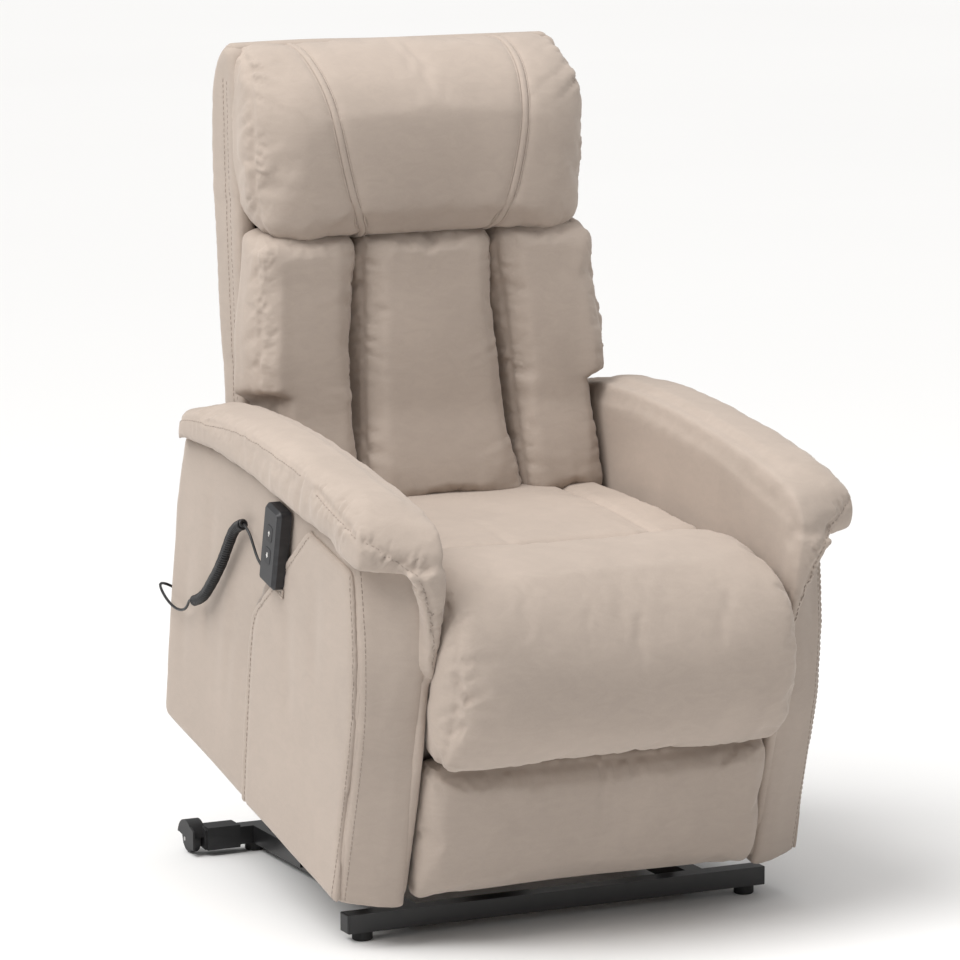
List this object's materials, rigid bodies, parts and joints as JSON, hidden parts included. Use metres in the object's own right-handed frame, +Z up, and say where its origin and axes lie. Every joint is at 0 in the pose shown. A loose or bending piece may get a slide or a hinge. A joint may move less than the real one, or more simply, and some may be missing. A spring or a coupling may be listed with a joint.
{
  "type": "lift recliner chair",
  "caption": "Upholstered riser recliner on a steel lift base that tilts it forward to stand up, with a reclining back, a swing-out legrest and a handset on a curly cord.",
  "frame": {"origin": "on the floor, at the middle of the whole chair's box as it stands partly lifted", "axes": "+Z up, the chair faces -Y, +X towards the side that is on the right when the chair is seen from the front"},
  "size_m": [0.74, 0.874, 1.1643],
  "materials": {
    "suede_cushions": "suede microfibre",
    "suede_panels": "suede microfibre",
    "black_steel": "powder coated",
    "zinc_steel": "zinc plated",
    "bare_steel": "ground",
    "spring_steel": "oiled",
    "plywood": "bare",
    "webbing": "woven elastic",
    "black_plastic": "moulded",
    "handset_plastic": "satin",
    "button_plastic": "satin with light arrows",
    "wheel_plastic": "moulded",
    "foot_rubber": "moulded",
    "cord_rubber": "satin"
  },
  "bodies": {
    "base": {"base_cross_rail": "black_steel", "base_end_caps": "black_plastic", "base_feet": "foot_rubber", "base_front_bar": "black_steel", "base_pins": "zinc_steel", "base_pivot_brackets": "black_steel", "base_rear_bar": "black_steel", "base_side_rails": "black_steel", "wheel_brackets": "black_plastic"},
    "wheel_left": {"wheel_left": "wheel_plastic"},
    "wheel_right": {"wheel_right": "wheel_plastic"},
    "lift_arms": {"lift_arms": "black_steel", "lift_torque_tube": "black_steel"},
    "front_links": {"front_links": "black_steel"},
    "actuator": {"actuator_tube": "black_plastic", "actuator_motor": "black_plastic"},
    "actuator_rod": {"actuator_rod": "bare_steel"},
    "body": {"side_plates": "black_steel", "body_pins": "zinc_steel", "seat_rails": "plywood", "motor_cross_tube": "black_steel", "seat_springs": "spring_steel", "power_supply": "black_plastic", "power_inlet": "black_plastic", "rear_panel": "suede_panels", "arm_outer_left": "suede_panels", "arm_outer_right": "suede_panels", "arm_boards": "plywood", "arm_inners": "suede_panels", "arm_fronts": "suede_panels", "arm_pad_left": "suede_panels", "arm_pad_right": "suede_panels", "side_pockets": "suede_panels", "seat_cushion": "suede_cushions", "seat_front_roll": "suede_cushions", "handset_front_shell": "handset_plastic", "handset_rear_shell": "handset_plastic", "handset_strain_relief": "cord_rubber", "cord_lead_handset": "cord_rubber", "cord_curl": "cord_rubber", "cord_lead_chair": "cord_rubber", "cord_gland": "cord_rubber"},
    "backrest": {"back_uprights": "plywood", "back_cross_rails": "plywood", "back_webbing": "webbing", "back_brackets": "black_steel", "back_rear_cover": "suede_panels", "back_gussets": "suede_panels", "back_cushion_left": "suede_cushions", "back_cushion_center": "suede_cushions", "back_cushion_right": "suede_cushions", "head_cushion": "suede_cushions"},
    "legrest": {"legrest_board": "plywood", "legrest_brackets": "black_steel", "legrest_pad_upper": "suede_cushions", "legrest_pad_lower": "suede_cushions"},
    "legrest_links_rear": {"legrest_links_rear": "black_steel"},
    "legrest_links_front": {"legrest_links_front": "black_steel"},
    "button_up": {"handset_button_up": "button_plastic"},
    "button_down": {"handset_button_down": "button_plastic"}
  },
  "joints": [
    {"name": "lift_tilt", "type": "hinge", "parent": "lift_arms", "child": "body", "pos_m": [0, -0.17473, 0.14041], "axis": [1, 0, 0], "range_deg": [-19.06, 24.92]},
    {"name": "lift_arm_swing", "type": "hinge", "parent": "base", "child": "lift_arms", "pos_m": [0, 0.16467, 0.075], "axis": [-1, 0, 0], "range_deg": [-6.21, 8.07]},
    {"name": "front_link_swing", "type": "hinge", "parent": "base", "child": "front_links", "pos_m": [0, -0.07583, 0.08], "axis": [-1, 0, 0], "range_deg": [-10.81, 14.09]},
    {"name": "actuator_pivot", "type": "hinge", "parent": "base", "child": "actuator", "pos_m": [0, 0.14667, 0.055], "axis": [1, 0, 0], "range_deg": [-6.61, 5.09]},
    {"name": "actuator_stroke", "type": "slide", "parent": "actuator", "child": "actuator_rod", "axis": [0, -0.9051, 0.4252], "range_m": [-0.0221, 0.02875]},
    {"name": "recline", "type": "hinge", "parent": "body", "child": "backrest", "pos_m": [0, 0.27795, 0.49123], "axis": [-1, 0, 0], "range_deg": [0, 45]},
    {"name": "legrest_lift", "type": "hinge", "parent": "body", "child": "legrest", "pos_m": [0, -0.42061, 0.42745], "axis": [-1, 0, 0], "range_deg": [0, 85]},
    {"name": "legrest_link_rear", "type": "hinge", "parent": "body", "child": "legrest_links_rear", "pos_m": [0, -0.23321, 0.26033], "axis": [-1, 0, 0], "range_deg": [-0.5, 103]},
    {"name": "legrest_link_front", "type": "hinge", "parent": "legrest", "child": "legrest_links_front", "pos_m": [0, -0.25494, 0.26557], "axis": [1, 0, 0], "range_deg": [-0.5, 96]},
    {"name": "wheel_left_spin", "type": "hinge", "parent": "base", "child": "wheel_left", "pos_m": [-0.315, 0.33917, 0.0215], "axis": [1, 0, 0], "continuous": true},
    {"name": "wheel_right_spin", "type": "hinge", "parent": "base", "child": "wheel_right", "pos_m": [0.315, 0.33917, 0.0215], "axis": [1, 0, 0], "continuous": true},
    {"name": "button_up_press", "type": "slide", "parent": "body", "child": "button_up", "axis": [1, 0, 0], "range_m": [0, 0.001], "stiffness_N_per_m": 600, "springref_m": -0.0008},
    {"name": "button_down_press", "type": "slide", "parent": "body", "child": "button_down", "axis": [1, 0, 0], "range_m": [0, 0.001], "stiffness_N_per_m": 600, "springref_m": -0.0008}
  ],
  "couplings": [
    {"joint": "lift_arm_swing", "follows": "lift_tilt", "ratio": 0.31787},
    {"joint": "front_link_swing", "follows": "lift_tilt", "ratio": 0.55934},
    {"joint": "actuator_pivot", "follows": "lift_tilt", "ratio": -0.25921},
    {"joint": "actuator_stroke", "follows": "lift_tilt", "m_per_rad": 0.064939},
    {"joint": "legrest_link_rear", "follows": "legrest_lift", "ratio": 1.203},
    {"joint": "legrest_link_front", "follows": "legrest_lift", "ratio": 1.1166}
  ]
}
